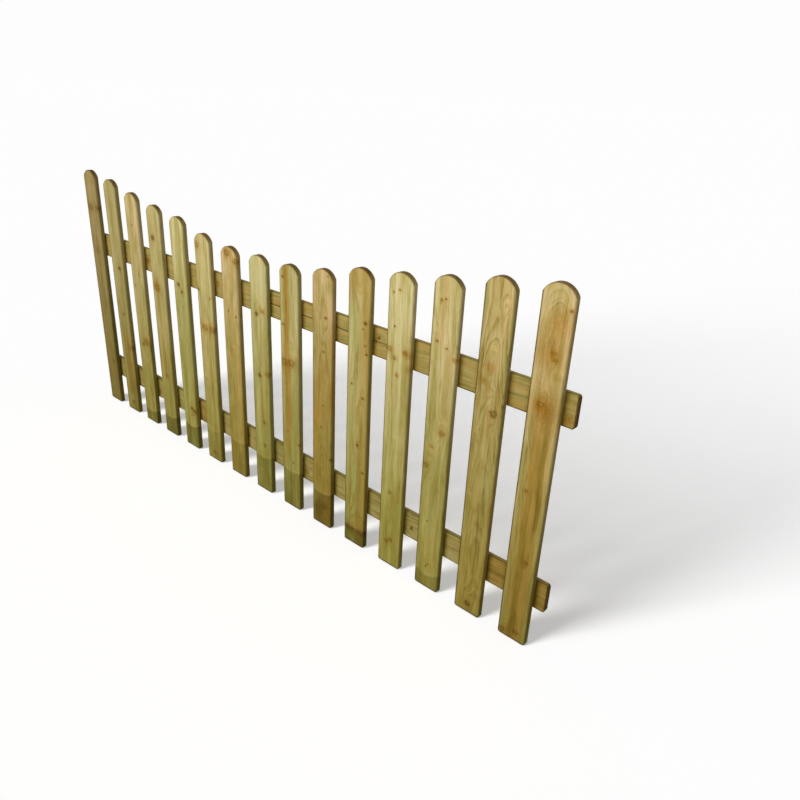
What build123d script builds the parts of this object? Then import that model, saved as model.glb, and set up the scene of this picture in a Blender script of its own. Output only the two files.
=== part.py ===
"""Garden fence panel: round-headed softwood pales on two level rails, with a dipped top line."""

import os

from build123d import *

# Frame: the origin is the centre of the lower rail's left end face, +X runs along the rails to the
# right end, -Y is the side that the pales are on, and +Z is up. All sizes are in millimetres.

# The two board sections, both planed with rounded arrises.
pale_width = 70.0
pale_thickness = 15.0
pale_arris_radius = 5.0
rail_width = 70.0
rail_thickness = 15.0
rail_arris_radius = 5.0

# Spacing along the rails.
pale_gap = 50.0
rail_overhang = 25.0

# Centre lines of the rails above the feet of the pales.
lower_rail_rise = 130.0
upper_rail_rise = 551.0

# Height of the round head above the shoulders, where it meets the pale's sides.
head_rise = 25.0

# The corners of feet and rail ends are rounded in the plane of the board. The sawn ends are eased
# all round, and the arc of a head a little less.
corner_radius = 8.0
end_bevel = 2.0
head_bevel = 1.2

# Top line: the pale in the middle is the shortest and the two at the ends are the longest. The cut
# list steps outwards from the middle pale, as shares of the rise between those two lengths.
middle_pale_length = 672.0
end_pale_length = 782.0
length_steps = (0.0, 0.0, 0.12, 0.36, 0.49, 0.66, 0.87, 1.0)

# What follows from the sizes above.
pale_count = 2 * len(length_steps) - 1
pale_pitch = pale_width + pale_gap
rail_length = pale_count * pale_pitch - pale_gap + 2 * rail_overhang
feet_level = -lower_rail_rise
pale_centre_y = -(rail_thickness + pale_thickness) / 2
head_radius = ((pale_width / 2) ** 2 + head_rise**2) / (2 * head_rise)


def pale_length(index):
    """Length of a pale, counted from the left end, from its place beside the middle one."""
    places_from_middle = abs(index - pale_count // 2)
    rise = end_pale_length - middle_pale_length
    return middle_pale_length + rise * length_steps[places_from_middle]


def pale_centre_x(index):
    """Distance of a pale's centre line from the left end of the rails."""
    return rail_overhang + pale_width / 2 + index * pale_pitch


def make_pale(label, centre_x, length):
    """An upright board with rounded arrises, its foot cut square and its head cut to an arc."""
    foot = Plane(origin=(centre_x, pale_centre_y, feet_level))
    face = Plane(origin=foot.origin, x_dir=(1, 0, 0), z_dir=(0, -1, 0))
    head_centre = (centre_x, pale_centre_y, feet_level + length - head_radius)
    head_outline = Plane(origin=head_centre, x_dir=(1, 0, 0), z_dir=(0, -1, 0))
    head_section = Plane(origin=head_centre)
    head_axis = Axis(head_centre, (0, -1, 0))
    waste_size = head_radius + pale_width
    front_y = -pale_thickness / 2
    bevel = head_bevel

    with BuildPart() as pale:
        # The planed board.
        with BuildSketch(foot):
            RectangleRounded(pale_width, pale_thickness, pale_arris_radius)
        extrude(amount=length)

        # The foot's rounded corners and eased edges. The shape that is kept stands higher than the
        # board, so that only its lower end is felt.
        with BuildPart(mode=Mode.INTERSECT) as kept:
            with BuildSketch(face):
                RectangleRounded(pale_width, 2 * length, corner_radius, align=(Align.CENTER, Align.MIN))
            extrude(amount=pale_thickness / 2, both=True)
            chamfer(kept.faces().filter_by(Axis.Y).edges(), length=end_bevel)

        # The waste outside the head's arc, sawn off square to the board's face.
        with BuildSketch(head_outline):
            Rectangle(2 * waste_size, waste_size, align=(Align.CENTER, Align.MIN))
            Circle(head_radius, mode=Mode.SUBTRACT)
        extrude(amount=pale_thickness, both=True, mode=Mode.SUBTRACT)

        # The arc's front and back edges, eased by a triangle turned over the head. Its slope
        # runs on past both edges by one bevel, so that it cuts right through the corner.
        with BuildSketch(head_section):
            with BuildLine():
                Polyline(
                    (head_radius - 2 * bevel, front_y - bevel),
                    (head_radius + bevel, front_y - bevel),
                    (head_radius + bevel, front_y + 2 * bevel),
                    close=True,
                )
            make_face()
            mirror(about=Plane.XZ)
        revolve(axis=head_axis, revolution_arc=180, mode=Mode.SUBTRACT)
    pale.part.label = label
    return pale.part


def make_rail(label, centre_z):
    """A level board on edge behind the pales, with rounded arrises and both ends cut square."""
    left_end = Plane(origin=(0, 0, centre_z), x_dir=(0, 1, 0), z_dir=(1, 0, 0))
    face = Plane(origin=(0, 0, centre_z), x_dir=(1, 0, 0), z_dir=(0, -1, 0))

    with BuildPart() as rail:
        with BuildSketch(left_end):
            RectangleRounded(rail_thickness, rail_width, rail_arris_radius)
        extrude(amount=rail_length)

        # The rounded corners and eased edges of both ends.
        with BuildPart(mode=Mode.INTERSECT) as kept:
            with BuildSketch(face):
                RectangleRounded(rail_length, rail_width, corner_radius, align=(Align.MIN, Align.CENTER))
            extrude(amount=rail_thickness / 2, both=True)
            chamfer(kept.faces().filter_by(Axis.Y).edges(), length=end_bevel)
    rail.part.label = label
    return rail.part


def main():
    """Build every board and write each one to its own file."""
    os.makedirs("parts", exist_ok=True)
    boards = [
        make_rail("lower_rail", feet_level + lower_rail_rise),
        make_rail("upper_rail", feet_level + upper_rail_rise),
    ]
    for index in range(pale_count):
        boards.append(make_pale(f"pale_{index + 1:02d}", pale_centre_x(index), pale_length(index)))
    for board in boards:
        export_step(board, f"parts/{board.label}.step")


main()
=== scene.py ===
"""Looks of a dipped-top picket fence panel: treated softwood boards, their screws, and a plain studio."""
import logging
import math
from collections.abc import Iterable
from dataclasses import dataclass, field
from enum import Enum

import bmesh
import bpy
from mathutils import Matrix, Vector


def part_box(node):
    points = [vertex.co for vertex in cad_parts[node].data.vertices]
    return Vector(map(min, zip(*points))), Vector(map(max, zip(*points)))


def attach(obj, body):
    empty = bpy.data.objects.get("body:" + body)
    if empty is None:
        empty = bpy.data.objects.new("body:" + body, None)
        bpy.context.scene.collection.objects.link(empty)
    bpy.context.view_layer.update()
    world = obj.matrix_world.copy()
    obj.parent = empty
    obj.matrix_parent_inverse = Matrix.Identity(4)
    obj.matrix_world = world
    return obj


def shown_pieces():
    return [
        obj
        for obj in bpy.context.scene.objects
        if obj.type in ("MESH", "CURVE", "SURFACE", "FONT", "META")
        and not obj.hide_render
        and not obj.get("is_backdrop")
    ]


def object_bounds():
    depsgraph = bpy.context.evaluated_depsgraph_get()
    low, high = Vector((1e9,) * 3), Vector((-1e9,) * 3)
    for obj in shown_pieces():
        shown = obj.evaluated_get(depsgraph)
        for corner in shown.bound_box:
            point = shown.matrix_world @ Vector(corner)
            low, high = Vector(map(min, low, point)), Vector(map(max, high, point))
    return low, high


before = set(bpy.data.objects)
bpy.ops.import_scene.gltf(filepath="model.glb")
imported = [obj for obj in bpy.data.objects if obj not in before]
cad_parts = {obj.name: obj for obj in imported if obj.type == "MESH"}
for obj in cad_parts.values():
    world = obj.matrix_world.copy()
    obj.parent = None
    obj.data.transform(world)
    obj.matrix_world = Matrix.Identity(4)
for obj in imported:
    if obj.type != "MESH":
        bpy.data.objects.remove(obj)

cad_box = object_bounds()

log = logging.getLogger("fence_panel")

Socket = bpy.types.NodeSocket
Triple = tuple[float, float, float]
Colour = tuple[float, float, float, float]

MM_PER_M = 1000.0

# Half the width of every board, and the radius of the round heads, in millimetres.
HALF_WIDTH = 35.0
HEAD_RADIUS = 37.0

# Where the head of a board without one is said to be, so that no point of the board reaches it.
NO_HEAD = 1e6

# How far one step of a seed moves a pattern along each axis, in lumps.
SEED_STEPS = (17.31, 9.17, 13.73)

# What the sockets of shared groups carry where that is not a plain number.
SOCKET_KINDS = {"Place": "NodeSocketVector", "Color": "NodeSocketColor"}


def paint(red: int, green: int, blue: int) -> Colour:
    """Turns a colour written as screen values into the linear one that shaders take.

    Args:
        red: screen value of red, 0 to 255.
        green: screen value of green, 0 to 255.
        blue: screen value of blue, 0 to 255.

    Returns:
        The linear colour, with an alpha of 1.
    """
    def linear(value: int) -> float:
        """Makes one channel linear."""
        share = value / 255
        return share / 12.92 if share <= 0.04045 else ((share + 0.055) / 1.055) ** 2.4

    return linear(red), linear(green), linear(blue), 1.0


def grey(share: float) -> Colour:
    """Gives the grey that sends back this share of the light."""
    return share, share, share, 1.0


def pales_in_order() -> list[str]:
    """Lists the upright boards' CAD nodes from left to right."""
    return sorted(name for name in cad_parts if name.startswith("pale_"))


def middle_mm(node: str) -> Vector:
    """Gives the middle of a CAD node's box, in millimetres."""
    low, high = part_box(node)
    return (low + high) / 2 * MM_PER_M


def make_object(shape: bmesh.types.BMesh, name: str) -> bpy.types.Object:
    """Turns a mesh into an object of its own at the origin.

    Args:
        shape: the mesh, which is used up.
        name: the object's name.

    Returns:
        The object, in the scene.
    """
    mesh = bpy.data.meshes.new(name)
    shape.to_mesh(mesh)
    shape.free()
    piece = bpy.data.objects.new(name, mesh)
    bpy.context.scene.collection.objects.link(piece)
    return piece


class Value:
    """What a node puts out. Arithmetic on it lays further nodes, so that a recipe reads like a formula."""

    def __init__(self, sheet: "NodeSheet", socket: Socket) -> None:
        """Keeps the output and the sheet that its node is on."""
        self.sheet = sheet
        self.socket = socket

    def __add__(self, other: "Number") -> "Value":
        """Adds a number."""
        return self.sheet.math("ADD", self, other)

    def __sub__(self, other: "Number") -> "Value":
        """Takes a number away."""
        return self.sheet.math("SUBTRACT", self, other)

    def __rsub__(self, other: float) -> "Value":
        """Takes this away from a plain number."""
        return self.sheet.math("SUBTRACT", other, self)

    def __mul__(self, other: "Number") -> "Value":
        """Multiplies by a number."""
        return self.sheet.math("MULTIPLY", self, other)

    def __truediv__(self, other: "Number") -> "Value":
        """Divides by a number."""
        return self.sheet.math("DIVIDE", self, other)

    def times_plus(self, factor: "Number", rest: "Number") -> "Value":
        """Multiplies by the factor and adds the rest, in one node."""
        return self.sheet.math("MULTIPLY_ADD", self, factor, rest)

    def at_least(self, other: "Number") -> "Value":
        """Takes the larger of the two."""
        return self.sheet.math("MAXIMUM", self, other)

    def size(self) -> "Value":
        """Drops the sign."""
        return self.sheet.math("ABSOLUTE", self)

    def rise(self, low: "Number", high: "Number") -> "Value":
        """Climbs smoothly from 0 where this is low to 1 where it is high."""
        ramp = self.sheet.add("ShaderNodeMapRange", interpolation_type="SMOOTHSTEP")
        return self.sheet.out(self.sheet.fill(ramp, Value=self, From_Min=low, From_Max=high))

    def fall(self, low: "Number", high: "Number") -> "Value":
        """Drops smoothly from 1 where this is low to 0 where it is high."""
        return 1.0 - self.rise(low, high)

    def spread(self, low: float, high: float) -> "Value":
        """Stretches a number from 0 to 1 over the range low to high."""
        return self.times_plus(high - low, low)

    def parts(self) -> tuple["Value", "Value", "Value"]:
        """Takes a vector or a colour apart into its three numbers."""
        node = self.sheet.fill(self.sheet.add("ShaderNodeSeparateXYZ"), self)
        return tuple(self.sheet.out(node, axis) for axis in range(3))


Number = float | Value


class NodeSheet:
    """Lays nodes on one shader tree."""

    def __init__(self, tree: bpy.types.NodeTree) -> None:
        """Keeps the tree that the nodes go on."""
        self.tree = tree

    @classmethod
    def of(cls, owner: bpy.types.Material | bpy.types.World) -> "NodeSheet":
        """Clears the nodes of a material or a world.

        Args:
            owner: the material or the world.

        Returns:
            The sheet for its new nodes.
        """
        owner.use_nodes = True
        owner.node_tree.nodes.clear()
        return cls(owner.node_tree)

    def add(self, kind: str, **settings: object) -> bpy.types.Node:
        """Adds one node.

        Args:
            kind: the node's type name.
            settings: the node's own options, by name.

        Returns:
            The new node.
        """
        node = self.tree.nodes.new(kind)
        for name, value in settings.items():
            setattr(node, name, value)
        return node

    def feed(self, socket: Socket, value: object) -> None:
        """Links a socket to an output, or sets it to a plain value.

        Args:
            socket: the input that is fed.
            value: an output, a number, a vector or a colour.
        """
        if isinstance(value, Value):
            self.tree.links.new(value.socket, socket)
        else:
            socket.default_value = value

    def fill(self, node: bpy.types.Node, *values: object, **named: object) -> bpy.types.Node:
        """Feeds a node.

        Args:
            node: the node that is fed.
            values: what its first inputs take, in order.
            named: what other inputs take, by name, with an underscore for each space.

        Returns:
            The node.
        """
        for socket, value in zip(node.inputs, values):
            self.feed(socket, value)
        for name, value in named.items():
            self.feed(node.inputs[name.replace("_", " ")], value)
        return node

    def out(self, node: bpy.types.Node, output: int | str = 0) -> Value:
        """Gives one of a node's outputs, the first unless it is named."""
        return Value(self, node.outputs[output])

    def lay(self, kind: str, *values: object, **named: object) -> Value:
        """Adds a node, feeds it as fill does, and gives its first output."""
        return self.out(self.fill(self.add(kind), *values, **named))

    def math(self, operation: str, *values: Number) -> Value:
        """Does arithmetic on numbers that change over the surface."""
        return self.out(self.fill(self.add("ShaderNodeMath", operation=operation), *values))

    def vector(self, operation: str, *values: object) -> Value:
        """Does arithmetic on vectors."""
        return self.out(self.fill(self.add("ShaderNodeVectorMath", operation=operation), *values))

    def join(self, *parts: Number) -> Value:
        """Makes a vector from up to three numbers."""
        return self.lay("ShaderNodeCombineXYZ", *parts)

    def length(self, *parts: Number) -> Value:
        """Finds how long the vector with these parts is."""
        node = self.add("ShaderNodeVectorMath", operation="LENGTH")
        return self.out(self.fill(node, self.join(*parts)), "Value")

    def bell(self, *parts: Number) -> Value:
        """Gives 1 where the vector with these parts is short, and dies away smoothly as it grows."""
        reach = self.length(*parts)
        return self.math("EXPONENT", reach * reach * -1.0)

    def noise(
        self, place: Value, lump: Triple, seed: Number = 0.0, detail: float = 2.0, output: str = "Fac",
    ) -> Value:
        """Lays cloudy noise whose lumps have a given size.

        Args:
            place: where the surface is, in millimetres.
            lump: how large a lump is along each axis, in millimetres.
            seed: moves the pattern, so that boards differ.
            detail: how many finer layers there are.
            output: Fac for one number, or Color for three.

        Returns:
            The noise.
        """
        shift = self.join(*(self.math("MULTIPLY", seed, step) for step in SEED_STEPS))
        node = self.add("ShaderNodeTexNoise", noise_dimensions="3D")
        moved = self.vector("ADD", self.vector("DIVIDE", place, lump), shift)
        return self.out(self.fill(node, Vector=moved, Scale=1.0, Detail=detail), output)

    def mix(self, share: Number, below: object, above: object, blend: str = "MIX") -> Value:
        """Mixes two colours.

        Args:
            share: how much of the one above shows, 0 to 1.
            below: the colour below.
            above: the colour laid over it.
            blend: the Mix node's blend type.

        Returns:
            The mixed colour.
        """
        node = self.add("ShaderNodeMix", data_type="RGBA", blend_type=blend, clamp_factor=True)
        low, high = (socket for socket in node.inputs if socket.type == "RGBA")
        self.feed(node.inputs[0], share)
        self.feed(low, below)
        self.feed(high, above)
        return Value(self, next(socket for socket in node.outputs if socket.type == "RGBA"))

    def group(self, tree: bpy.types.NodeTree, **named: object) -> bpy.types.Node:
        """Places a shared group, fed by name as fill does, and gives its node."""
        return self.fill(self.add("ShaderNodeGroup", node_tree=tree), **named)


class Recipe:
    """A shared node group while it is being written."""

    def __init__(self, name: str, takes: str, gives: str) -> None:
        """Starts an empty group with its sockets.

        Args:
            name: the group's name.
            takes: the names of its inputs, with a comma and a space between them.
            gives: the names of its outputs, in the same way.
        """
        self.tree = bpy.data.node_groups.new(name, "ShaderNodeTree")
        for way, labels in (("INPUT", takes), ("OUTPUT", gives)):
            for label in labels.split(", "):
                kind = SOCKET_KINDS.get(label, "NodeSocketFloat")
                self.tree.interface.new_socket(label, in_out=way, socket_type=kind)
        self.sheet = NodeSheet(self.tree)
        self.start = self.sheet.add("NodeGroupInput")
        self.end = self.sheet.add("NodeGroupOutput")

    def take(self, name: str) -> Value:
        """Gives what comes in by an input."""
        return self.sheet.out(self.start, name)

    def give(self, **results: Value) -> bpy.types.NodeTree:
        """Sends out the results, by name as fill does, and gives the finished group's tree."""
        self.sheet.fill(self.end, **results)
        return self.tree


@dataclass(frozen=True)
class TreatedSoftwood:
    """The colours of pressure-treated softwood, as they look under plain light, and of the shade painted
    over it.
    """

    spring: Colour = paint(184, 169, 98)
    summer: Colour = paint(128, 104, 34)
    green: Colour = paint(154, 155, 86)
    brown: Colour = paint(162, 128, 52)
    cream: Colour = paint(214, 200, 156)
    halo: Colour = paint(208, 182, 112)
    blush: Colour = paint(198, 172, 122)
    resin: Colour = paint(224, 184, 94)
    core: Colour = paint(160, 138, 68)
    crack: Colour = paint(48, 38, 18)
    soaked: Colour = paint(190, 192, 162)
    # Painted shade towards the foot, standing in for the light falling off lower down.
    damp: Colour = paint(228, 228, 184)
    edge: Colour = paint(192, 184, 156)
    # Painted shade where boards cross.
    corner: Colour = paint(222, 214, 170)
    # Painted shade in a thin line along the left arris, the head and the foot.
    rim: Colour = paint(112, 103, 78)
    sawn_end: Colour = paint(146, 122, 46)


@dataclass(frozen=True)
class Grain:
    """How large the lumps of the wood's marks are, across, through and along a board, in millimetres."""

    ring_sway: Triple = (1.0, 1.0, 420.0)
    ring_ripple: Triple = (26.0, 26.0, 170.0)
    ring_shiver: Triple = (8.0, 8.0, 42.0)
    uneven_rings: Triple = (2.6, 1.0, 1.0)
    knot_outline: Triple = (6.0, 6.0, 4.2)
    knot_flecks: Triple = (3.0, 3.0, 2.4)
    streak_sway: Triple = (1.0, 1.0, 70.0)
    tide_line: Triple = (9.0, 9.0, 30.0)
    darker_edge: Triple = (6.0, 6.0, 24.0)
    # How uneven the painted shade where boards cross is.
    crossing_shade: Triple = (7.0, 7.0, 7.0)
    bands: Triple = (15.0, 15.0, 240.0)
    streaks: Triple = (4.2, 4.2, 75.0)
    fibre: Triple = (1.3, 1.3, 22.0)
    patches: Triple = (30.0, 30.0, 62.0)
    fuzz: Triple = (1.6, 1.6, 3.2)


GRAIN = Grain()


def make_ring_group() -> bpy.types.NodeTree:
    """Writes the group for yearly rings: the board is cut from a trunk, so its rings run through it.

    Returns:
        The group, which gives how far into dark summer wood a point is, and one tone for each ring.
    """
    recipe = Recipe(
        "growth_rings", "Place, Lift, Heart Across, Heart Behind, Taper, Ring Width, Wander, Seed",
        "Summer, Ring Tone")
    sheet, take = recipe.sheet, recipe.take
    place, seed, wander = take("Place"), take("Seed"), take("Wander")
    across, behind, along = place.parts()

    # The heart of the trunk sways along the board, and the rings round it ripple and shiver.
    sway = sheet.noise(sheet.join(0.0, 0.0, along), GRAIN.ring_sway, seed, output="Color")
    sway_across, sway_behind, _ = sway.parts()
    aside = across - take("Heart Across")
    deep = behind - take("Heart Behind")
    aside = sway_across.spread(-1.0, 1.0).times_plus(wander, aside)
    deep = sway_behind.spread(-1.0, 1.0).times_plus(wander, deep)
    ripple = sheet.noise(place, GRAIN.ring_ripple, seed)
    shiver = sheet.noise(place, GRAIN.ring_shiver, seed)
    radius = sheet.length(aside, deep) + ripple.spread(-3.0, 3.0)
    radius = along.times_plus(take("Taper"), radius + shiver.spread(-1.1, 1.1)) - take("Lift")

    # Rings differ in width and strength. Each darkens towards its end, and the next one starts pale.
    count = radius / take("Ring Width")
    uneven = sheet.noise(sheet.join(count, 0.0, 0.0), GRAIN.uneven_rings, seed)
    count = count + uneven.spread(-1.0, 1.0)
    part = sheet.math("FRACT", count)
    summer = part.rise(0.3, 0.92) * part.fall(0.93, 1.0)
    dice = sheet.add("ShaderNodeTexWhiteNoise", noise_dimensions="2D")
    sheet.fill(dice, Vector=sheet.join(sheet.math("FLOOR", count), seed, 0.0))
    strong, tone, _ = sheet.out(dice, "Color").parts()
    return recipe.give(Summer=summer * strong.spread(0.4, 1.0), Ring_Tone=tone)


def make_knot_group() -> bpy.types.NodeTree:
    """Writes the group for one knot: a dark core, stained wood round it, pale wood above it, bent rings.

    Returns:
        The group, which adds its knot to what it is given, so that knots follow one another in a row.
    """
    recipe = Recipe(
        "knot",
        "Place, Lift, Core, Stain, Glow, Across, Up, Radius, Core Depth, Stain Depth, Glow Depth, Hollow",
        "Lift, Core, Stain, Glow")
    sheet, take = recipe.sheet, recipe.take
    place, radius, up = take("Place"), take("Radius"), take("Up")
    across, behind, along = place.parts()

    # How far a point is from the knot, in radii. The knot leans, is a little wide, and has a ragged outline.
    aside = behind.times_plus(0.25, across) - take("Across")
    above = along - up
    waves = sheet.noise(place, GRAIN.knot_outline, up, 1.0).spread(-0.7, 0.7)
    reach = sheet.length(aside * 0.8, above) / radius + waves

    # The mottled core with its pith, the rings that bulge round it, its stain, and the pale wood above.
    mottle = sheet.noise(place, GRAIN.knot_flecks, up).rise(0.3, 0.7)
    pith = reach.fall(0.35, 0.75) * take("Hollow")
    core = reach.fall(0.7, 1.5) * (1.0 - pith)
    bulge = sheet.bell(aside / radius.times_plus(1.4, 3.0), above / radius.times_plus(3.0, 8.0))
    loose = waves.times_plus(radius, above)
    stain = sheet.bell(aside / (radius * 2.1), loose / (radius * 2.1))
    glow = sheet.bell(aside / radius.times_plus(1.4, 2.0), (loose - radius) / radius.times_plus(1.5, 2.0))
    return recipe.give(
        Lift=bulge.times_plus(radius * 1.1, take("Lift")),
        Core=take("Core").at_least(core * mottle.spread(0.5, 1.15) * take("Core Depth")),
        Stain=(stain * mottle.spread(1.2, 0.7)).times_plus(take("Stain Depth"), take("Stain")),
        Glow=glow.times_plus(take("Glow Depth"), take("Glow")),
    )


def make_streak_group() -> bpy.types.NodeTree:
    """Writes the group for a lengthwise streak or crack with soft ends.

    Returns:
        The group, which lays its streak over the mask it is given.
    """
    recipe = Recipe("streak", "Place, Mask, Across, Half Width, From, To, Wander, Strength", "Mask")
    sheet, take = recipe.sheet, recipe.take
    across, _, along = take("Place").parts()
    sway = sheet.noise(sheet.join(0.0, 0.0, along), GRAIN.streak_sway, take("Across"))
    middle = sway.spread(-1.0, 1.0).times_plus(take("Wander"), take("Across"))
    band = ((across - middle).size() / take("Half Width")).fall(0.35, 1.3)
    low, high = take("From"), take("To")
    tail = (high - low) * 0.15
    starts = along.rise(low - tail, low + tail)
    ends = along.fall(high - tail, high + tail)
    return recipe.give(Mask=take("Mask").at_least(band * starts * ends * take("Strength")))


def make_foot_group() -> bpy.types.NodeTree:
    """Writes the group for a board's foot: soaked up to a slightly bowed line, and painted shade lower down.

    Returns:
        The group, which gives the soaked part, the thin line left at its edge, and painted shade that
        fades upwards, standing in for the light falling off towards the foot.
    """
    recipe = Recipe("soaked_foot", "Place, Height, Depth, Bow, Seed", "Soaked, Edge Line, Damp")
    sheet, take = recipe.sheet, recipe.take
    across, _, along = take("Place").parts()
    share = across / HALF_WIDTH
    line = (share * share).times_plus(take("Bow"), take("Height"))
    ragged = sheet.noise(take("Place"), GRAIN.tide_line, take("Seed"))
    above = along - (line + ragged.spread(-5.0, 5.0))
    return recipe.give(
        Soaked=above.fall(-2.5, 3.5) * take("Depth"),
        Edge_Line=sheet.bell((above - 5.0) / 3.0),
        # Painted shade: darker towards the foot, standing in for the light falling off lower down.
        Damp=along.fall(-250.0, 760.0),
    )


def make_edge_group() -> bpy.types.NodeTree:
    """Writes the group for a board's edges, which are darker along the sides, the head and the foot.

    Returns:
        The group, which gives how near the edge a point is, unevenly, and a thin line of painted shade
        along the left arris, the head and the foot.
    """
    recipe = Recipe("darker_edge", "Place, Head Centre, Foot Share, Seed", "Edge, Rim")
    sheet, take = recipe.sheet, recipe.take
    across, behind, along = take("Place").parts()

    # How near the outline a point is, along the sides and round the head: 1 is on it.
    above = (along - take("Head Centre")).at_least(0.0)
    side = across.size() / HALF_WIDTH
    head = sheet.length(across, above) / HEAD_RADIUS
    uneven = sheet.noise(take("Place"), GRAIN.darker_edge, take("Seed"))
    outline = side.at_least(head)

    # The thin line of painted shade, strongest on the left and on the front, and along the foot.
    worn = take("Foot Share").times_plus(0.11, side).rise(0.93, 1.04)
    rim = worn.at_least(head.rise(0.93, 1.0).spread(0.0, 0.6)) * across.fall(-8.0, 22.0)
    rim = rim * behind.fall(-5.0, -1.0).spread(0.3, 1.0)
    foot = along.times_plus(-0.03, 1.02) * take("Foot Share")
    rim = rim.at_least(foot.rise(0.8, 0.95))
    share = outline.at_least(foot) + uneven.spread(-0.04, 0.04)
    flank = behind.size().fall(2.0, 4.0)
    return recipe.give(
        Edge=share.rise(0.88, 0.98) * flank.spread(1.0, 0.35),
        Rim=rim * uneven.spread(0.5, 1.3),
    )


def make_crossing_shade_group() -> bpy.types.NodeTree:
    """Writes the group for the painted shade where boards cross, on the side where the other board lies.

    Returns:
        The group, which gives how deep the painted shade is at a point.
    """
    recipe = Recipe("crossing_shade", "Place, First, Pitch, Side, Seed", "Corner")
    sheet, take = recipe.sheet, recipe.take
    _, behind, along = take("Place").parts()
    off = sheet.math("PINGPONG", along - take("First"), take("Pitch") * 0.5)
    uneven = sheet.noise(take("Place"), GRAIN.crossing_shade, take("Seed"))
    near = (off + uneven.spread(-4.0, 4.0)).fall(HALF_WIDTH + 3.0, HALF_WIDTH + 15.0)
    touched = (behind * take("Side")).rise(3.0, 6.0)
    return recipe.give(Corner=near * touched)


def make_figure_group() -> bpy.types.NodeTree:
    """Writes the group for what lies along the grain: bands, streaks, fibres, and patches of treatment.

    Returns:
        The group, which gives each as a cloud from 0 to 1, and a fine fuzz of torn fibre.
    """
    clouds = {
        "Bands": (GRAIN.bands, 2.0),
        "Streaks": (GRAIN.streaks, 3.0),
        "Fibre": (GRAIN.fibre, 3.0),
        "Patches": (GRAIN.patches, 3.0),
        "Fuzz": (GRAIN.fuzz, 4.0),
    }
    recipe = Recipe("figure", "Place, Seed", ", ".join(clouds))
    sheet, place, seed = recipe.sheet, recipe.take("Place"), recipe.take("Seed")
    return recipe.give(**{
        name: sheet.noise(place, lump, seed, detail).rise(0.28, 0.72)
        for name, (lump, detail) in clouds.items()
    })


def make_board_group(wood: TreatedSoftwood) -> bpy.types.NodeTree:
    """Writes the group that turns all marks on a board into its colour, roughness and relief.

    Args:
        wood: the colours of the wood.

    Returns:
        The group.
    """
    recipe = Recipe(
        "board_wood",
        "Summer, Ring Tone, Bands, Streaks, Fibre, Patches, Fuzz, Core, Stain, Glow, Heartwood, Crack, "
        "Soaked, Edge Line, Damp, Edge, Rim, Corner, End, Contrast, Brown, Green, Blush, Shade",
        "Color, Roughness, Height")
    sheet, take = recipe.sheet, recipe.take
    damp, patches, streaks = take("Damp"), take("Patches"), take("Streaks")
    bands, fibre = take("Bands"), take("Fibre")

    # The wood's own hues, and painted light: creamier towards the top and greener towards the foot.
    colour = sheet.mix(damp.fall(0.0, 0.8) * 0.45, wood.spring, wood.cream)
    colour = sheet.mix(take("Summer") * take("Contrast"), colour, wood.summer)
    hue = patches * 0.5 + streaks * 0.5
    greenish = (take("Green") + damp * 0.3) * hue.rise(0.25, 0.75)
    colour = sheet.mix(greenish, colour, wood.green)
    brownish = take("Brown") * bands.rise(0.2, 0.8).spread(0.5, 1.2)
    colour = sheet.mix(brownish, colour, wood.brown)
    topmost = damp.fall(0.02, 0.3) * patches.spread(0.6, 1.2)
    colour = sheet.mix(take("Blush") * topmost, colour, wood.blush)
    colour = sheet.mix(take("Heartwood"), colour, wood.brown)
    colour = sheet.mix(take("Stain"), colour, wood.resin, "MULTIPLY")
    colour = sheet.mix(take("Glow"), colour, wood.halo)
    colour = sheet.mix(take("Edge Line") * 0.1, colour, wood.cream)

    # How light each spot is, with less blue where it is dark.
    tone = take("Ring Tone").spread(-0.07, 0.07) + fibre.spread(-0.1, 0.09) + streaks.spread(-0.12, 0.1)
    tone = tone + bands.spread(-0.21, 0.18) + patches.spread(-0.12, 0.1) + 1.0
    colour = sheet.mix(1.0, colour, sheet.join(tone, tone, tone * tone), "MULTIPLY")
    shade = take("Shade") + 1.0
    colour = sheet.mix(1.0, colour, sheet.join(shade, shade, shade), "MULTIPLY")

    # What darkens it: knots, painted shade towards the foot, soaking, darker edges, painted shade along
    # the arrises and where boards cross, and the sawn end.
    for share, tint in (
        (take("Core"), wood.core),
        # Painted shade towards the foot.
        (damp, wood.damp),
        (take("Soaked") * patches.spread(1.15, 0.75), wood.soaked),
        # Darker near the outline, and more so towards the foot, where the painted shade deepens it.
        (take("Edge") * damp.spread(0.15, 0.9), wood.edge),
        # A thin line of painted shade along the left arris, the head and the foot.
        (take("Rim"), wood.rim),
        # Painted shade where boards cross.
        (take("Corner"), wood.corner),
        (take("End"), wood.sawn_end),
    ):
        colour = sheet.mix(share, colour, tint, "MULTIPLY")
    colour = sheet.mix(take("Crack"), colour, wood.crack)
    height = take("Fuzz") * 0.2 + fibre * 0.35 + take("Summer") * 0.3 + take("Crack") * -2.5
    return recipe.give(Color=colour, Roughness=fibre.spread(0.68, 0.9), Height=height)


class KnotKind(Enum):
    """What a knot looks like: how deep its core, stain and pale wood are, and how light its pith is.

    Every knot bends the rings round it, and a swirl does nothing else. A kind is called with a place
    and a radius, as Knot says, to make a knot.
    """

    DARK = (1.0, 0.55, 0.05, 0.0)
    AMBER = (0.62, 0.8, 0.15, 0.75)
    PALE = (0.2, 0.2, 0.5, 0.0)
    FLECK = (0.8, 0.4, 0.05, 0.0)
    PATCH = (0.0, 0.7, 0.0, 0.0)
    RING = (1.0, 0.5, 0.15, 0.5)
    SWIRL = (0.0, 0.0, 0.0, 0.0)

    def __call__(self, across: float, up: float, radius: float) -> "Knot":
        """Makes a knot of this kind."""
        return Knot(across, up, radius, self)


DARK, AMBER, PALE, FLECK, PATCH, RING, SWIRL = KnotKind


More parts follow.
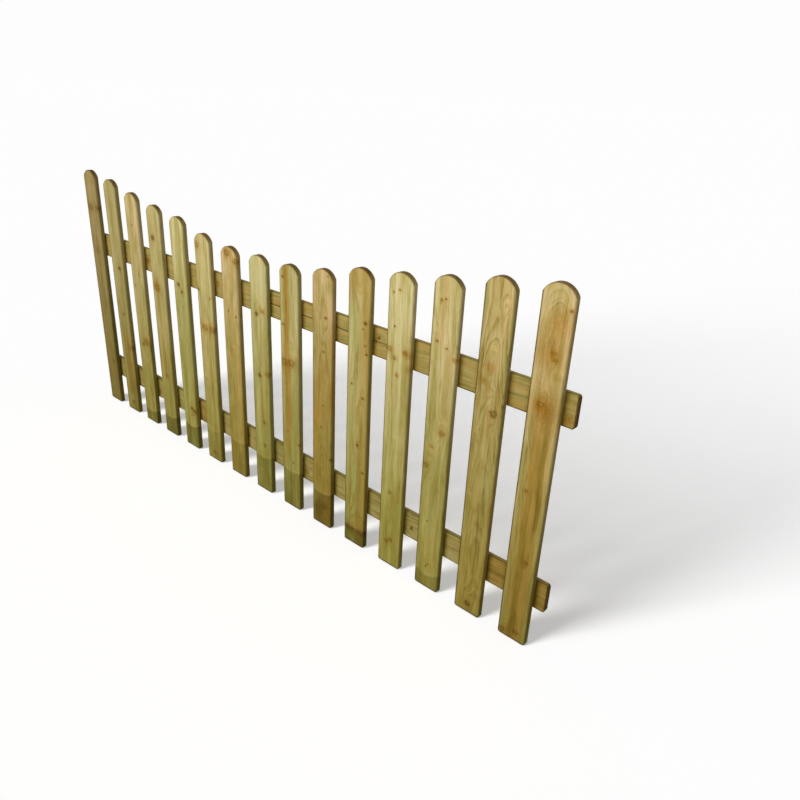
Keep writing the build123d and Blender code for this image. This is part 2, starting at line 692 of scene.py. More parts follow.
@dataclass(frozen=True)
class Knot:
    """One knot, placed from the board's centre line and its foot, in millimetres."""

    across: float
    up: float
    radius: float
    kind: KnotKind


@dataclass(frozen=True)
class Streak:
    """One lengthwise streak or crack, in millimetres."""

    across: float
    half_width: float
    low: float
    high: float
    wander: float = 4.0
    strength: float = 0.6


@dataclass(frozen=True)
class BoardPlace:
    """Where a board is, so that its pattern can be laid out from its own foot, front and centre line.

    Shift and turn bring the board there, in millimetres and radians, and its sawn ends face along
    end_axis. The crossings are where other boards lie against it: first_crossing and crossing_pitch
    are distances along it, and crossed_side is 1 for its back and -1 for its front.
    """

    shift: Triple
    turn: float
    end_axis: int
    upright: bool
    head_centre: float
    first_crossing: float
    crossing_pitch: float
    crossed_side: float

    @classmethod
    def of_pale(cls, node: str) -> "BoardPlace":
        """Reads an upright board's place from its CAD node, with along pointing up.

        Args:
            node: the board's CAD node.

        Returns:
            Its place.
        """
        low, high = (corner * MM_PER_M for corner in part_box(node))
        middle = middle_mm(node)
        first, second = (middle_mm(rail).z - low.z for rail in ("lower_rail", "upper_rail"))
        head_centre = high.z - low.z - HEAD_RADIUS
        shift = (-middle.x, -middle.y, -low.z)
        return cls(shift, 0.0, 2, True, head_centre, first, second - first, 1.0)

    @classmethod
    def of_rail(cls, node: str) -> "BoardPlace":
        """Reads a lying board's place from its CAD node, with across pointing down and along right.

        Args:
            node: the board's CAD node.

        Returns:
            Its place.
        """
        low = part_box(node)[0] * MM_PER_M
        middle = middle_mm(node)
        first, second = (middle_mm(pale).x - low.x for pale in pales_in_order()[:2])
        shift = (middle.z, -middle.y, -low.x)
        return cls(shift, -math.pi / 2, 0, False, NO_HEAD, first, second - first, -1.0)


@dataclass(frozen=True)
class BoardFinish:
    """How one board looks: how it was cut from its log, its tint, and its marks."""

    heart: tuple[float, float] = (0.0, 70.0)
    taper: float = 0.012
    ring_width: float = 3.4
    wander: float = 14.0
    contrast: float = 0.5
    brown: float = 0.2
    green: float = 0.3
    blush: float = 0.0
    shade: float = 0.0
    soaked: float = 0.0
    wetness: float = 0.65
    bow: float = 10.0
    # The even share of painted shade that a rail takes, in place of the one that grows towards a foot.
    damp: float = 0.3
    knots: tuple[Knot, ...] = ()
    heartwood: tuple[Streak, ...] = ()
    cracks: tuple[Streak, ...] = ()


@dataclass
class WoodShop:
    """Makes each board's material from the shared groups, which it writes once."""

    wood: TreatedSoftwood = field(default_factory=TreatedSoftwood)
    relief_mm: float = 0.35
    gloss: float = 0.15

    def __post_init__(self) -> None:
        """Writes the shared groups."""
        self.rings = make_ring_group()
        self.knot = make_knot_group()
        self.streak = make_streak_group()
        self.foot = make_foot_group()
        self.edges = make_edge_group()
        self.corners = make_crossing_shade_group()
        self.figure = make_figure_group()
        self.board = make_board_group(self.wood)

    def lay_knots(self, sheet: NodeSheet, place: Value, knots: Iterable[Knot]) -> dict[str, Number]:
        """Lays knots one after another.

        Args:
            sheet: the material's sheet.
            place: where the surface is, in the board's millimetres.
            knots: the knots.

        Returns:
            How far they lift the rings, and their cores, stains and pale wood, by name.
        """
        marks: dict[str, Number] = {"Lift": 0.0, "Core": 0.0, "Stain": 0.0, "Glow": 0.0}
        for knot in knots:
            core, stain, glow, hollow = knot.kind.value
            node = sheet.group(
                self.knot, Place=place, **marks, Across=knot.across, Up=knot.up, Radius=knot.radius,
                Core_Depth=core, Stain_Depth=stain, Glow_Depth=glow, Hollow=hollow)
            marks = {mark: sheet.out(node, mark) for mark in marks}
        return marks

    def lay_streaks(self, sheet: NodeSheet, place: Value, streaks: Iterable[Streak]) -> Number:
        """Lays streaks over one another.

        Args:
            sheet: the material's sheet.
            place: where the surface is, in the board's millimetres.
            streaks: the streaks.

        Returns:
            Their mask, or 0 if there are none.
        """
        mask: Number = 0.0
        for streak in streaks:
            node = sheet.group(
                self.streak, Place=place, Mask=mask, Across=streak.across, Half_Width=streak.half_width,
                From=streak.low, To=streak.high, Wander=streak.wander, Strength=streak.strength)
            mask = sheet.out(node)
        return mask

    def material(self, name: str, finish: BoardFinish, spot: BoardPlace, seed: float) -> bpy.types.Material:
        """Makes one board's material.

        Args:
            name: the material's name.
            finish: how the board looks.
            spot: where the board is.
            seed: keeps the board's grain unlike the others'.

        Returns:
            The material.
        """
        material = bpy.data.materials.new(name)
        sheet = NodeSheet.of(material)
        source = sheet.add("ShaderNodeTexCoord")
        place = sheet.lay(
            "ShaderNodeMapping", Vector=sheet.out(source, "Object"), Scale=(MM_PER_M,) * 3,
            Rotation=(0.0, spot.turn, 0.0), Location=spot.shift)
        marks = self.lay_knots(sheet, place, finish.knots)
        rings = sheet.group(
            self.rings, Place=place, Lift=marks.pop("Lift"), Heart_Across=finish.heart[0],
            Heart_Behind=finish.heart[1], Taper=finish.taper, Ring_Width=finish.ring_width,
            Wander=finish.wander, Seed=seed)
        figure = sheet.group(self.figure, Place=place, Seed=seed)
        foot = sheet.group(
            self.foot, Place=place, Height=finish.soaked, Depth=finish.wetness, Bow=finish.bow, Seed=seed)
        facing = sheet.out(source, "Normal").parts()[spot.end_axis].size()
        edges = sheet.group(
            self.edges, Place=place, Head_Centre=spot.head_centre, Foot_Share=float(spot.upright), Seed=seed)
        # Painted shade where other boards cross this one.
        corners = sheet.group(
            self.corners, Place=place, First=spot.first_crossing, Pitch=spot.crossing_pitch,
            Side=spot.crossed_side, Seed=seed)

        # The groups' outputs have the names of the inputs that take them.
        for group in (rings, figure, foot, edges, corners):
            marks.update({output.name: sheet.out(group, output.name) for output in group.outputs})
        if finish.soaked == 0:
            marks.update({"Soaked": 0.0, "Edge Line": 0.0})
        # A rail takes an even share of painted shade, in place of the one that grows towards a foot.
        if not spot.upright:
            marks["Damp"] = finish.damp
        board = sheet.group(
            self.board, **marks, Heartwood=self.lay_streaks(sheet, place, finish.heartwood),
            Crack=self.lay_streaks(sheet, place, finish.cracks), End=facing.rise(0.15, 1.0),
            Contrast=finish.contrast, Brown=finish.brown, Green=finish.green,
            Blush=finish.blush if spot.upright else 0.0, Shade=finish.shade)
        normal = sheet.lay(
            "ShaderNodeBump", Height=sheet.out(board, "Height"), Distance=self.relief_mm / MM_PER_M)
        shader = sheet.lay(
            "ShaderNodeBsdfPrincipled", Base_Color=sheet.out(board, "Color"),
            Roughness=sheet.out(board, "Roughness"), Normal=normal, Specular_IOR_Level=self.gloss)
        sheet.fill(sheet.add("ShaderNodeOutputMaterial"), shader)
        return material

    def dress(self, node: str, finish: BoardFinish, spot: BoardPlace, seed: float) -> None:
        """Gives a CAD node a material of its own, and reports it.

        Args:
            node: the board's CAD node.
            finish: how the board looks.
            spot: where the board is.
            seed: keeps the board's grain unlike the others'.
        """
        material = self.material(f"{node}_wood", finish, spot, seed)
        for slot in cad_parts[node].material_slots:
            slot.material = material
        log.info("dressed %s with %d knots", node, len(finish.knots))


@dataclass
class Pales:
    """The upright boards, from the left end to the right."""

    finishes: tuple[BoardFinish, ...] = (
        BoardFinish(
            (60, 50), 0.004, 3.0, brown=0.5, green=0.2, shade=-0.3,
            knots=(AMBER(-12, 669, 8), AMBER(30, 670, 6), PATCH(-3, 532, 5), AMBER(12, 150, 4)),
            heartwood=(Streak(-30, 6, 150, 700, 3, 0.4),)),
        BoardFinish(
            (-50, 60), 0.006, 3.2, contrast=0.45, brown=0.3, green=0.4, shade=-0.1,
            knots=(DARK(8, 498, 5.5), DARK(2, 345, 3.5), AMBER(28, 236, 7), RING(3, 32, 5), PALE(0, 44, 6)),
            heartwood=(Streak(8, 18, 60, 280, 8, 0.85),)),
        BoardFinish(
            (20, 80), 0.01, 3.6, contrast=0.4, brown=0.22, green=0.3, blush=0.3, shade=0.03, soaked=36,
            wetness=0.85,
            knots=(FLECK(-2, 650, 2), FLECK(6, 502, 2), FLECK(-20, 462, 2.5), DARK(-8, 272, 4),
                   AMBER(12, 285, 10), PALE(24, 292, 6)),
            heartwood=(Streak(0, 12, 560, 760, 8, 0.4),)),
        BoardFinish(
            (-70, 40), 0.003, 2.8, contrast=0.45, brown=0.2, green=0.3, shade=0.02, soaked=56, wetness=1.0,
            knots=(DARK(-10, 632, 7), AMBER(-10, 483, 10), PATCH(-14, 494, 7), AMBER(0, 202, 5)),
            heartwood=(Streak(-5, 6, 190, 480, 5, 0.6), Streak(0, 6, 190, 340, 4, 0.85))),
        BoardFinish(
            (10, 75), 0.008, 4.0, contrast=0.35, brown=0.0, green=0.5, blush=0.1, shade=0.08, soaked=68,
            wetness=1.0,
            knots=(DARK(-10, 519, 5), DARK(4, 499, 4.2), FLECK(-10, 470, 1.6), FLECK(8, 455, 1.6),
                   DARK(8, 133, 5), DARK(22, 127, 5.5), FLECK(16, 115, 2.5), FLECK(4, 108, 2))),
        BoardFinish(
            (-60, 70), 0.006, 3.4, contrast=0.4, brown=0.22, green=0.25, shade=0.11, soaked=94, wetness=0.4,
            knots=(AMBER(-27, 652, 8), DARK(-31, 528, 4), FLECK(24, 512, 3), AMBER(-8, 420, 8),
                   AMBER(25, 422, 8), PALE(8, 430, 6), PALE(-15, 265, 4), AMBER(0, 25, 5))),
        BoardFinish(
            (40, 80), 0.01, 3.4, contrast=0.35, brown=0.55, green=0.0, blush=0.45, shade=0.09, soaked=103,
            wetness=0.5,
            knots=(AMBER(-7, 655, 8), AMBER(27, 638, 6), FLECK(-12, 497, 2.5), FLECK(22, 488, 3),
                   PALE(5, 395, 4))),
        BoardFinish(
            (-30, 90), 0.008, 3.6, contrast=0.35, brown=0.08, green=0.55, shade=0.07, soaked=102,
            knots=(DARK(-10, 519, 4.5), AMBER(15, 531, 5), DARK(-6, 351, 5), AMBER(27, 362, 6),
                   PALE(3, 540, 5), AMBER(8, 216, 4), AMBER(7, 145, 4), PALE(-8, 58, 3), PALE(22, 30, 3))),
        BoardFinish(
            (-8, 60), 0.006, 3.4, contrast=0.4, brown=0.12, green=0.55, shade=0.03, soaked=108, bow=6,
            knots=(FLECK(-22, 639, 3), FLECK(-24, 519, 3.5), AMBER(-24, 420, 9), AMBER(5, 424, 9),
                   PALE(20, 436, 9), FLECK(-13, 227, 2), FLECK(30, 200, 3), FLECK(8, 139, 2.5)),
            heartwood=(Streak(-8, 13, 160, 720, 5, 0.95),),
            cracks=(Streak(-8, 0.8, 555, 585, 5, 0.6), Streak(12, 0.6, 600, 680, 2, 0.4))),
        BoardFinish(
            (4, 62), 0.016, 4.4, contrast=0.6, brown=0.75, green=0.12, blush=0.4, shade=0.05, soaked=93,
            wetness=0.9,
            knots=(FLECK(18, 672, 2), RING(11, 572, 3.5), RING(4, 487, 3), RING(5, 348, 2.5),
                   RING(-5, 285, 2.5), FLECK(30, 205, 3), PATCH(-20, 45, 8), PATCH(12, 60, 7),
                   SWIRL(0, 190, 12))),
        BoardFinish(
            (12, 66), 0.02, 4.6, contrast=0.6, brown=0.12, green=0.7, shade=0.06, soaked=46, wetness=1.0,
            bow=3,
            knots=(DARK(20, 592, 4), FLECK(13, 577, 2), FLECK(20, 540, 2.5), DARK(25, 520, 2.8),
                   FLECK(-19, 437, 2.5), FLECK(17, 411, 3), DARK(3, 284, 2.8), DARK(24, 216, 2.5),
                   AMBER(-15, 45, 9), AMBER(25, 45, 9), SWIRL(-4, 700, 12)),
            heartwood=(Streak(22, 18, -80, 900, 4, 0.62), Streak(-14, 3, 30, 200, 3, 0.4),
                       Streak(0, 60, 640, 900, 3, 0.6))),
        BoardFinish(
            (-90, 50), 0.003, 3.2, contrast=0.3, brown=0.05, green=0.25, shade=0.1,
            knots=(FLECK(-21, 681, 2.5), FLECK(-4, 689, 2.5), DARK(-14, 608, 2.2), AMBER(-27, 555, 5),
                   AMBER(18, 556, 4.5), PATCH(28, 552, 6), AMBER(-11, 537, 4), PATCH(30, 522, 5),
                   AMBER(-2, 500, 3.5), PALE(-2, 344, 3), AMBER(-6, 203, 3), AMBER(-10, 66, 4),
                   AMBER(3, 74, 4)),
            heartwood=(Streak(5, 6, 120, 200, 3, 0.5), Streak(30, 6, -40, 640, 2, 0.2))),
        BoardFinish(
            (-40, 80), 0.008, 3.2, contrast=0.35, brown=0.15, green=0.33, blush=0.2, shade=0.08, soaked=34,
            bow=14,
            knots=(AMBER(-13, 693, 2.5), FLECK(-3, 697, 2), FLECK(-18, 607, 3), FLECK(7, 597, 2.5),
                   AMBER(30, 578, 4), PALE(-16, 350, 7), PALE(16, 424, 6), AMBER(12, 409, 5.5),
                   AMBER(-13, 368, 3.5), AMBER(-25, 320, 5), FLECK(-10, 180, 2), FLECK(0, 66, 2),
                   FLECK(-5, 58, 2)),
            heartwood=(Streak(-6, 14, 600, 800, 5, 0.35), Streak(16, 12, 440, 590, 5, 0.4))),
        BoardFinish(
            (2, 58), 0.02, 2.7, wander=26, contrast=0.85, brown=0.42, green=0.32, blush=0.1, shade=0.03,
            knots=(RING(13, 497, 7), PATCH(-4, 590, 6), PATCH(-20, 560, 5), PALE(-22, 440, 4),
                   PALE(-25, 295, 4), PALE(0, 620, 5), PALE(18, 718, 4), PALE(20, 60, 6), RING(0, 25, 6)),
            heartwood=(Streak(-24, 5, 500, 640, 6, 0.6), Streak(-8, 5, 520, 600, 5, 0.4),
                       Streak(22, 6, 500, 570, 6, 0.5), Streak(6, 4, 440, 490, 4, 0.45),
                       Streak(-28, 5, 260, 420, 5, 0.45)),
            cracks=(Streak(8, 3, 110, 270, 5, 0.3), Streak(12, 2, 300, 430, 5, 0.3),
                    Streak(-22, 2, 520, 620, 6, 0.35), Streak(18, 3, 500, 560, 6, 0.25),
                    Streak(20, 4, 45, 80, 3, 0.3))),
        BoardFinish(
            (0, 64), 0.016, 3.8, contrast=0.6, brown=0.3, green=0.38, blush=0.3, shade=0.05,
            knots=(FLECK(27, 737, 3), PATCH(8, 712, 15), AMBER(4, 655, 3), PATCH(-4, 650, 17),
                   AMBER(10, 643, 3), PALE(20, 612, 7), AMBER(-8, 552, 6), PATCH(0, 542, 19),
                   AMBER(-13, 365, 3), AMBER(10, 205, 3.5), AMBER(8, 25, 5), AMBER(-25, 15, 5)),
            heartwood=(Streak(4, 26, -200, 560, 5, 0.85), Streak(8, 20, 540, 900, 5, 0.12)),
            cracks=(Streak(16, 2.5, 210, 400, 4, 0.2), Streak(0, 60, -240, 200, 3, 0.13))),
    )

    def build(self, shop: WoodShop) -> None:
        """Dresses each upright board in a material of its own."""
        for number, (node, finish) in enumerate(zip(pales_in_order(), self.finishes), start=1):
            shop.dress(node, finish, BoardPlace.of_pale(node), float(number))


@dataclass
class Rails:
    """The two lying boards that carry the pales. Their seeds start well past those of the pales."""

    finishes: dict[str, BoardFinish] = field(default_factory=lambda: {
        "upper_rail": BoardFinish(
            (-10, 60), 0.004, 3.2, contrast=0.6, brown=0.6, green=0.1, shade=-0.05,
            knots=(AMBER(0, 345, 7), AMBER(-6, 705, 5), DARK(-14, 1310, 3), AMBER(-4, 1302, 3),
                   PATCH(14, 1788, 5)),
            cracks=(Streak(-2, 1.3, 860, 1340, 2.5, 0.85), Streak(5, 1.3, 1640, 1700, 6, 0.35))),
        "lower_rail": BoardFinish(
            (12, 64), 0.004, 3.6, contrast=0.8, brown=0.35, green=0.45, shade=-0.04,
            knots=(AMBER(6, 1065, 6), DARK(2, 1436, 3.5), AMBER(10, 345, 5), AMBER(-12, 815, 5)),
            heartwood=(Streak(0, 60, 520, 680, 3, 0.7), Streak(0, 60, 1620, 2000, 3, 0.8)),
            cracks=(Streak(0, 1.4, 1640, 1790, 2.5, 0.4), Streak(-8, 1.2, 1290, 1350, 2, 0.35))),
    })
    first_seed: int = 31

    def build(self, shop: WoodShop) -> None:
        """Dresses both rails."""
        for number, (node, finish) in enumerate(self.finishes.items(), start=self.first_seed):
            shop.dress(node, finish, BoardPlace.of_rail(node), float(number))


@dataclass(frozen=True)
class ZincPlate:
    """Zinc-plated steel, dulled by weather, with spots of dirt, and painted shade in its hollows.
    Sizes are in millimetres.

    The floor and the mouth of a hollow are told by how far behind the origin they lie.
    """

    zinc: Colour = paint(172, 172, 168)
    dull: Colour = paint(120, 118, 110)
    # Dark dirt for the spots, and painted shade for the hollows.
    grime_and_shade: Colour = paint(52, 44, 28)
    bare_roughness: float = 0.34
    dull_roughness: float = 0.6
    dull_lump: Triple = (2.5, 2.5, 2.5)
    scuff_lump: Triple = (0.35, 2.0, 0.9)
    spot_lump: Triple = (0.9, 0.9, 0.9)
    relief_mm: float = 0.05
    hollow_floor: float = 6.4
    hollow_mouth: float = 7.1

    def material(self) -> bpy.types.Material:
        """Makes the material of the screws.

        Returns:
            The material.
        """
        material = bpy.data.materials.new("zinc_plate")
        sheet = NodeSheet.of(material)
        source = sheet.add("ShaderNodeTexCoord")
        place = sheet.vector("MULTIPLY", sheet.out(source, "Object"), (MM_PER_M,) * 3)
        dulled = sheet.noise(place, self.dull_lump, 3.0, 4.0).rise(0.35, 0.65)
        scuffs = sheet.noise(place, self.scuff_lump, 5.0, 3.0)
        _, behind, _ = place.parts()
        # Painted shade: below their mouth, the hollows turn dark and dull.
        hollow = behind.fall(self.hollow_floor, self.hollow_mouth)
        spots = sheet.noise(place, self.spot_lump, 8.0, 3.0).rise(0.58, 0.7)
        colour = sheet.mix(dulled, self.zinc, self.dull)
        colour = sheet.mix(hollow.at_least(spots * 0.7), colour, self.grime_and_shade)
        normal = sheet.lay("ShaderNodeBump", Height=scuffs, Distance=self.relief_mm / MM_PER_M)
        shader = sheet.lay(
            "ShaderNodeBsdfPrincipled", Base_Color=colour, Metallic=hollow.fall(0.2, 0.9),
            Roughness=dulled.spread(self.bare_roughness, self.dull_roughness), Normal=normal)
        sheet.fill(sheet.add("ShaderNodeOutputMaterial"), shader)
        return material


# Turns what points up so that it points backwards, away from the pales.
BACKWARDS = Matrix.Rotation(-math.pi / 2, 4, "X")


@dataclass(frozen=True)
class Screws:
    """The countersunk screws, driven from behind through a rail into each pale. Sizes are in millimetres."""

    head_radius: float = 4.0
    shank_radius: float = 1.9
    head_depth: float = 2.4
    sunk: float = 0.35
    slack: float = 0.2
    recess_span: float = 4.6
    recess_width: float = 1.3
    recess_depth: float = 1.5
    recess_taper: float = 0.7
    recess_overlap: float = 1.0
    aside: float = 17.0
    apart: float = 19.0
    turn_step: float = 1.9
    weld_reach: float = 0.01
    segments: int = 24
    finish: ZincPlate = ZincPlate()

    def spots(self, rail: str) -> list[Vector]:
        """Finds where screws go in: two at each crossing, one up to the left and one down to the right.

        Args:
            rail: the rail's CAD node.

        Returns:
            The places on the rail's back face.
        """
        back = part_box(rail)[1].y * MM_PER_M
        level = middle_mm(rail).z
        return [
            Vector((middle_mm(pale).x + way * self.aside, back, level - way * self.apart))
            for pale in pales_in_order() for way in (-1.0, 1.0)
        ]

    def cone(self, shape: bmesh.types.BMesh, place: Vector, grown: float, proud: float) -> None:
        """Adds a countersunk head at a place, with its flat top outwards.

        Args:
            shape: the mesh that takes it.
            place: the centre of the hole on the rail's back face.
            grown: how much larger than the screw's own head it is, all round.
            proud: how far its top stands out from the face, or in from it where negative.
        """
        extra = max(proud, 0.0)
        depth = self.head_depth + grown + extra
        slope = (self.head_radius - self.shank_radius) / self.head_depth
        bmesh.ops.create_cone(
            shape, cap_ends=True, segments=self.segments, radius1=self.shank_radius + grown,
            radius2=self.head_radius + grown + slope * extra, depth=depth,
            matrix=Matrix.Translation(place + Vector((0.0, proud - depth / 2, 0.0))) @ BACKWARDS)

    def recess(self, shape: bmesh.types.BMesh, place: Vector, turn: float) -> None:
        """Adds the solid cross that cuts a screw's recess.

        Args:
            shape: the mesh that takes it.
            place: the centre of the hole on the rail's back face.
            turn: how far the cross is turned, in radians.
        """
        cross = bmesh.new()
        bmesh.ops.create_grid(cross, x_segments=3, y_segments=3, size=self.recess_span / 2)
        for axis in range(2):
            bars = [vert for vert in cross.verts if abs(vert.co[axis]) < self.recess_span / 4]
            narrow = Vector((1.0, 1.0, 1.0))
            narrow[axis] = self.recess_width * 3 / self.recess_span
            bmesh.ops.scale(cross, verts=bars, vec=narrow)
        middles = {face: face.calc_center_median() for face in cross.faces}
        corners = [face for face, middle in middles.items()
                   if min(abs(middle.x), abs(middle.y)) > self.recess_width / 2]
        bmesh.ops.delete(cross, geom=corners, context="FACES")
        base = bmesh.ops.extrude_face_region(cross, geom=cross.faces[:])
        floor = [item for item in base["geom"] if isinstance(item, bmesh.types.BMVert)]
        bmesh.ops.translate(cross, verts=floor, vec=(0.0, 0.0, -self.recess_depth - self.recess_overlap))
        bmesh.ops.scale(cross, verts=floor, vec=(self.recess_taper, self.recess_taper, 1.0))
        bmesh.ops.recalc_face_normals(cross, faces=cross.faces)
        outwards = Vector((0.0, self.recess_overlap - self.sunk, 0.0))
        bmesh.ops.transform(
            cross, verts=cross.verts,
            matrix=Matrix.Translation(place + outwards) @ BACKWARDS @ Matrix.Rotation(turn, 4, "Z"))
        spare = bpy.data.meshes.new("recess")
        cross.to_mesh(spare)
        cross.free()
        shape.from_mesh(spare)
        bpy.data.meshes.remove(spare)

    def finish_mesh(self, shape: bmesh.types.BMesh, name: str) -> bpy.types.Object:
        """Turns a mesh in millimetres into an object."""
        bmesh.ops.scale(shape, verts=shape.verts, vec=(1.0 / MM_PER_M,) * 3)
        return make_object(shape, name)

    def cut(self, piece: bpy.types.Object, name: str, tool: bpy.types.Object) -> None:
        """Cuts one object out of another, and hides the tool.

        Args:
            piece: the object that is cut.
            name: the cut's name.
            tool: the shape that is taken away.
        """
        change = piece.modifiers.new(name, "BOOLEAN")
        change.operation = "DIFFERENCE"
        change.solver = "EXACT"
        change.object = tool
        tool.hide_render = True
        tool.hide_viewport = True

    def build(self, rail: str, metal: bpy.types.Material) -> None:
        """Makes a rail's screws and the countersunk holes that they sit in.

        Args:
            rail: the rail's CAD node.
            metal: the screws' material.
        """
        heads, holes, recesses = bmesh.new(), bmesh.new(), bmesh.new()
        spots = self.spots(rail)
        for number, place in enumerate(spots):
            self.cone(heads, place, 0.0, -self.sunk)
            self.cone(holes, place, self.slack, self.slack)
            self.recess(recesses, place, number * self.turn_step)
        screws = self.finish_mesh(heads, f"screws_{rail}")
        self.cut(screws, "recess", self.finish_mesh(recesses, f"recess_tool_{rail}"))

        # The faces of a CAD mesh don't share their points. The weld closes the rail, so that it can be cut.
        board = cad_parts[rail]
        board.modifiers.new("weld", "WELD").merge_threshold = self.weld_reach / MM_PER_M
        self.cut(board, "screw_holes", self.finish_mesh(holes, f"hole_tool_{rail}"))
        screws.data.materials.append(metal)
        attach(screws, "root")
        log.info("drove %d screws through %s", len(spots), rail)


class LampKind(Enum):
    """The kinds of lamp that the studio has."""

    SUN = "SUN"
    BOX = "AREA"


class Lit(Enum):
    """What a lamp shines on: the panel, or the floor that takes its shadow."""

    PANEL = "lit_panel"
    FLOOR = "lit_floor"

    def collection(self) -> bpy.types.Collection:
        """Gives the collection that holds what such a lamp shines on, and makes it at its first use."""
        return bpy.data.collections.get(self.value) or bpy.data.collections.new(self.value)

    def take(self, piece: bpy.types.Object) -> None:
        """Puts an object under such lamps."""
        self.collection().objects.link(piece)


@dataclass(frozen=True)
class Lamp:
    """One soft lamp, which shines from its place towards its aim."""

    name: str
    kind: LampKind
    lit: Lit
    place: Triple
    aim: Triple
    energy: float
    size: tuple[float, float] = (1.0, 1.0)
    softness: float = 30.0

    def build(self) -> None:
        """Makes the lamp and turns it towards its aim."""
        data = bpy.data.lights.new(self.name, self.kind.value)
        data.energy = self.energy
        if self.kind is LampKind.SUN:
            data.angle = math.radians(self.softness)
        else:
            data.shape = "RECTANGLE"
            data.size, data.size_y = self.size
            data.spread = math.radians(self.softness)
        lamp = bpy.data.objects.new(self.name, data)
        bpy.context.scene.collection.objects.link(lamp)
        lamp.location = self.place
        lamp.rotation_euler = (Vector(self.aim) - Vector(self.place)).to_track_quat("-Z", "Y").to_euler()
        lamp.visible_camera = False
        lamp.light_linking.receiver_collection = self.lit.collection()


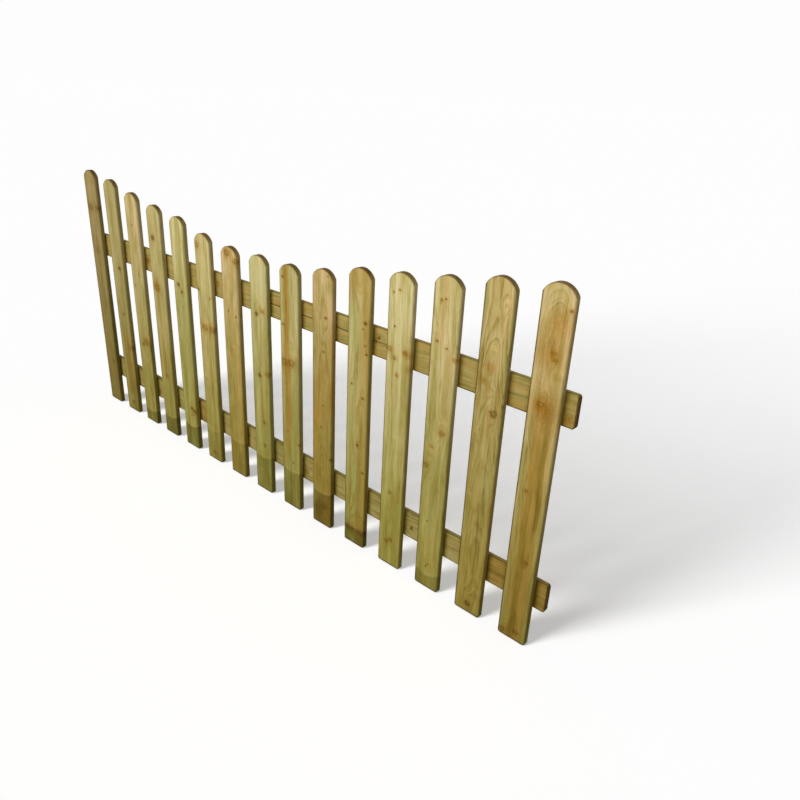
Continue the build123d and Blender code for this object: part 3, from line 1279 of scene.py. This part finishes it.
@dataclass
class Studio:
    """A pale floor that runs into a pale background, and soft lamps that light the panel and its shadow.

    A shadow step is a lamp's height above the horizon in degrees, and its share of the floor's light.
    """

    floor_level: float
    floor_radius: float = 80.0
    floor_centre_x: float = 0.9
    floor_segments: int = 96
    backdrop: Colour = paint(253, 253, 253)
    fill: float = 0.19
    floor_glow: float = 0.356
    floor_shade: float = 0.8
    floor_bounce: float = 0.2
    floor_light: float = 0.71
    shadow_turn: float = 20.0
    shadow_steps: tuple[tuple[float, float], ...] = (
        (10.0, 0.2), (20.0, 0.2), (30.0, 0.19), (42.0, 0.15), (57.0, 0.1))
    shadow_softness: float = 22.0
    shadow_lamp_reach: float = 3.0
    lamps: tuple[Lamp, ...] = (
        Lamp("key", LampKind.SUN, Lit.PANEL, (-0.75, -2.2, 1.4), (0.0, 0.0, 0.2), 1.72, softness=32.0),
        Lamp("back", LampKind.SUN, Lit.PANEL, (-0.75, 2.2, 0.5), (0.0, 0.0, 0.1), 2.0, softness=60.0),
        Lamp("strip", LampKind.BOX, Lit.PANEL, (1.1, -0.6, 0.9), (1.1, 0.0, 0.5), 7.0, (3.0, 0.15), 180.0),
    )

    def shadow_lamps(self) -> list[Lamp]:
        """Makes the lamps that shine on the floor: one tall soft source, cut into steps of height.

        Returns:
            The lamps. Each gives the floor its share of the light.
        """
        turn = math.radians(self.shadow_turn)
        lamps = []
        for number, (height, share) in enumerate(self.shadow_steps, start=1):
            climb = math.radians(height)
            level = math.cos(climb)
            away = Vector((-math.sin(turn) * level, -math.cos(turn) * level, math.sin(climb)))
            energy = self.floor_light * share * math.pi / math.sin(climb)
            lamps.append(Lamp(
                f"floor_lamp_{number}", LampKind.SUN, Lit.FLOOR, tuple(away * self.shadow_lamp_reach),
                (0.0, 0.0, 0.0), energy, softness=self.shadow_softness))
        return lamps

    def where_seen(self, sheet: NodeSheet, seen: Value, unseen: Value) -> Value:
        """Picks one shader for what the camera sees, straight or by gloss and glass, and one for the rest.

        Args:
            sheet: the sheet of the floor or the world.
            seen: the shader where the camera looks.
            unseen: the shader that lights the panel.

        Returns:
            The shader that is picked.
        """
        ray = sheet.add("ShaderNodeLightPath")
        shiny = sheet.out(ray, "Is Glossy Ray").at_least(sheet.out(ray, "Is Transmission Ray"))
        mask = sheet.out(ray, "Is Camera Ray").at_least(shiny)
        return sheet.lay("ShaderNodeMixShader", mask, unseen, seen)

    def floor_material(self) -> bpy.types.Material:
        """Makes the floor's material: nearly white where it is seen, with the panel's shadow on it.

        Returns:
            The material.
        """
        material = bpy.data.materials.new("studio_floor")
        sheet = NodeSheet.of(material)
        glow = sheet.lay("ShaderNodeEmission", Color=grey(1.0), Strength=self.floor_glow)
        lit = sheet.lay("ShaderNodeBsdfDiffuse", Color=grey(self.floor_shade))
        seen = sheet.lay("ShaderNodeAddShader", glow, lit)
        bounce = sheet.lay("ShaderNodeBsdfDiffuse", Color=grey(self.floor_bounce))
        sheet.fill(sheet.add("ShaderNodeOutputMaterial"), self.where_seen(sheet, seen, bounce))
        return material

    def build_floor(self) -> None:
        """Makes the round floor under the pales' feet."""
        shape = bmesh.new()
        bmesh.ops.create_circle(
            shape, cap_ends=True, segments=self.floor_segments, radius=self.floor_radius)
        bmesh.ops.translate(
            shape, verts=shape.verts, vec=(self.floor_centre_x, 0.0, self.floor_level))
        floor = make_object(shape, "studio_floor")
        floor.data.materials.append(self.floor_material())
        Lit.FLOOR.take(floor)
        floor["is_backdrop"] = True

    def build_world(self) -> None:
        """Makes the background: nearly white where it is seen, and a weaker fill on the panel."""
        world = bpy.data.worlds.new("studio_world")
        sheet = NodeSheet.of(world)
        bpy.context.scene.world = world
        seen = sheet.lay("ShaderNodeBackground", Color=self.backdrop)
        fill = sheet.lay("ShaderNodeBackground", Color=grey(1.0), Strength=self.fill)
        sheet.fill(sheet.add("ShaderNodeOutputWorld"), self.where_seen(sheet, seen, fill))

    def build(self) -> None:
        """Makes the floor, the background and the lamps, and sets plain colour."""
        self.build_floor()
        self.build_world()
        for lamp in (*self.lamps, *self.shadow_lamps()):
            lamp.build()
        bpy.context.scene.view_settings.view_transform = "Standard"
        log.info("built the studio with %d lamps", len(bpy.data.lights))


@dataclass(frozen=True)
class ViewCamera:
    """The camera, standing where the panel is seen from its right end, slightly from above."""

    place: Triple = (2.31828, -1.08953, 0.95042)
    azimuth: float = 40.933
    elevation: float = 24.197
    roll: float = 2.952
    lens: float = 31.936
    film: float = 36.0

    def build(self) -> None:
        """Makes the camera and hands it to the scene."""
        turn, tilt, lean = (math.radians(angle) for angle in (self.azimuth, self.elevation, self.roll))
        ahead = Vector((-math.sin(turn) * math.cos(tilt), math.cos(turn) * math.cos(tilt), -math.sin(tilt)))
        level = Vector((math.cos(turn), math.sin(turn), 0.0))
        upright = level.cross(ahead)
        right = level * math.cos(lean) + upright * math.sin(lean)
        up = upright * math.cos(lean) - level * math.sin(lean)
        data = bpy.data.cameras.new("camera")
        data.lens = self.lens
        data.sensor_width = self.film
        camera = bpy.data.objects.new("camera", data)
        bpy.context.scene.collection.objects.link(camera)
        axes = Matrix((right, up, -ahead)).transposed()
        camera.matrix_world = Matrix.Translation(self.place) @ axes.to_4x4()
        bpy.context.scene.camera = camera
        log.info("set the camera %.3f m above the floor", self.place[2] - cad_box[0].z)


def main() -> None:
    """Builds the panel's looks and the studio, in order."""
    logging.basicConfig(level=logging.INFO, format="%(name)s: %(message)s")
    shop = WoodShop()
    Pales().build(shop)
    rails = Rails()
    rails.build(shop)
    screws = Screws()
    metal = screws.finish.material()
    for rail in rails.finishes:
        screws.build(rail, metal)
    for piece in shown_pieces():
        Lit.PANEL.take(piece)
    Studio(floor_level=cad_box[0].z).build()
    ViewCamera().build()


if __name__ == "__main__":
    main()
